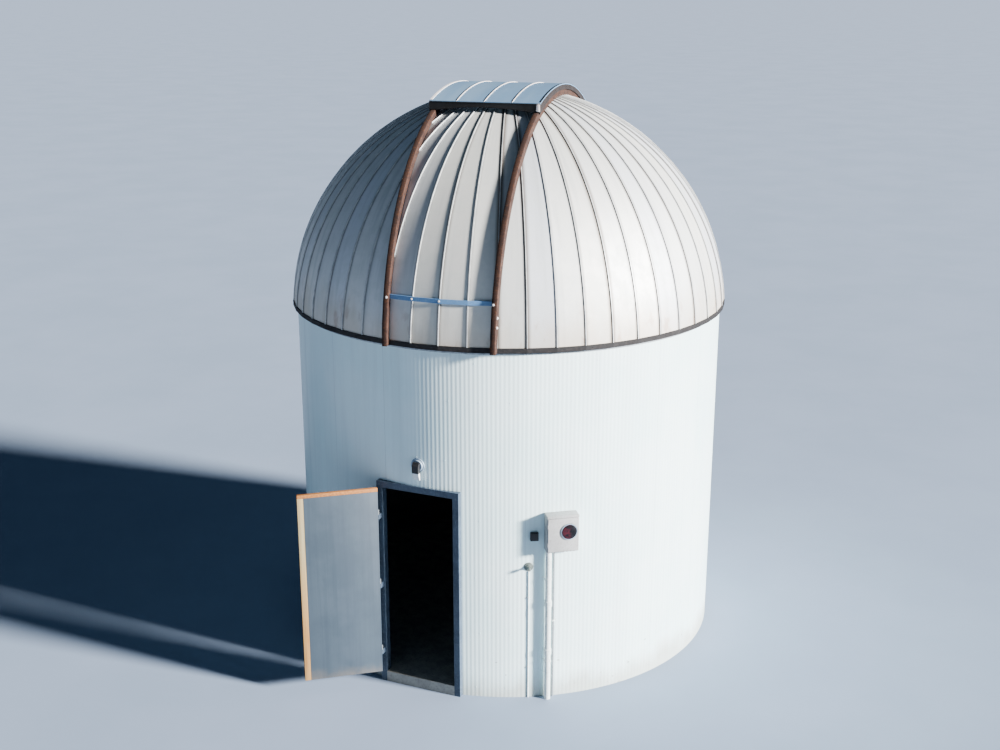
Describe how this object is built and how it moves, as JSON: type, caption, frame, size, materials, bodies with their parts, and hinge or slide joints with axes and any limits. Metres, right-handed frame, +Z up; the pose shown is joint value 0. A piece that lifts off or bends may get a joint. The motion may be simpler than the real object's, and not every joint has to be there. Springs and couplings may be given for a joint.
{
  "type": "observatory dome building",
  "caption": "Small round observatory: metal-clad drum wall with an outward opening door, a gored metal dome that turns on rollers, and a shutter over its slit that runs on arched rails.",
  "frame": {"origin": "centre of the round building at ground level, on the underside of its floor slab", "axes": "+Z up along the dome's turning axis; -Y out through the doorway; +X to the right of someone who faces the door"},
  "size_m": [5.4918, 6.1798, 6.9464],
  "materials": {
    "wall_paint": "white paint with an aqua tint on fine ribbed sheet",
    "concrete": "bare trowelled concrete",
    "frame_paint": "blue-grey paint",
    "door_paint": "grey-white paint",
    "bare_wood": "weathered bare boards",
    "zinc": "dull galvanised",
    "dome_sheet": "galvanised sheet, weathered, rust near its lower edge",
    "shutter_sheet": "pale galvanised sheet",
    "rusty_steel": "rusty rolled steel",
    "ring_steel": "dark brown weathered steel",
    "lip_steel": "dark weathered sheet",
    "enclosure": "grey enamel",
    "dial_glass": "dark glass cover",
    "black_plastic": "matte black",
    "lamp_lens": "clear white lens",
    "pipe": "pale conduit"
  },
  "bodies": {
    "building": {"wall_panel_1": "wall_paint", "wall_panel_2": "wall_paint", "wall_panel_3": "wall_paint", "wall_panel_4": "wall_paint", "wall_panel_5": "wall_paint", "wall_panel_6": "wall_paint", "wall_panel_7": "wall_paint", "wall_panel_8": "wall_paint", "wall_panel_9": "wall_paint", "wall_over_door": "wall_paint", "floor_slab": "concrete", "door_sill": "concrete", "door_jamb_left": "frame_paint", "door_jamb_right": "frame_paint", "door_head": "frame_paint", "wall_plate_with_rollers": "zinc", "meter_box": "enclosure", "meter_dial": "dial_glass", "meter_conduit": "pipe", "thin_conduit": "pipe", "wall_spigot": "zinc", "spigot_pipe": "pipe", "cable_box": "black_plastic", "wall_lamp": "black_plastic", "wall_lamp_lens": "lamp_lens"},
    "dome": {"base_ring": "ring_steel", "slit_lower_panel": "dome_sheet", "dome_panel_1": "dome_sheet", "dome_panel_2": "dome_sheet", "dome_panel_3": "dome_sheet", "dome_panel_4": "dome_sheet", "dome_panel_5": "dome_sheet", "dome_panel_6": "dome_sheet", "dome_panel_7": "dome_sheet", "dome_panel_8": "dome_sheet", "dome_panel_9": "dome_sheet", "dome_panel_10": "dome_sheet", "dome_panel_11": "dome_sheet", "dome_panel_12": "dome_sheet", "rail_left": "rusty_steel", "rail_right": "rusty_steel", "stop_strap": "zinc"},
    "shutter": {"shutter_sheet": "shutter_sheet", "shutter_side_left": "rusty_steel", "shutter_side_right": "rusty_steel", "shutter_rear_lip": "lip_steel", "shutter_front_lip": "lip_steel"},
    "door": {"door_leaf": "door_paint", "door_edge_free": "bare_wood", "door_edge_top": "bare_wood", "door_strap_1": "zinc", "door_strap_2": "zinc", "door_strap_3": "zinc", "door_knob": "zinc"}
  },
  "joints": [
    {"name": "dome_rotation", "type": "hinge", "parent": "building", "child": "dome", "pos_m": [0, 0, 4.26], "axis": [0, 0, 1], "continuous": true},
    {"name": "shutter_travel", "type": "hinge", "parent": "dome", "child": "shutter", "pos_m": [0, 0, 4.133], "axis": [0.9938, 0.1115, 0], "range_deg": [0, 51]},
    {"name": "door_swing", "type": "hinge", "parent": "building", "child": "door", "pos_m": [-0.475, -2.76, 1.3], "axis": [0, 0, 1], "range_deg": [-30, 142.5]}
  ]
}
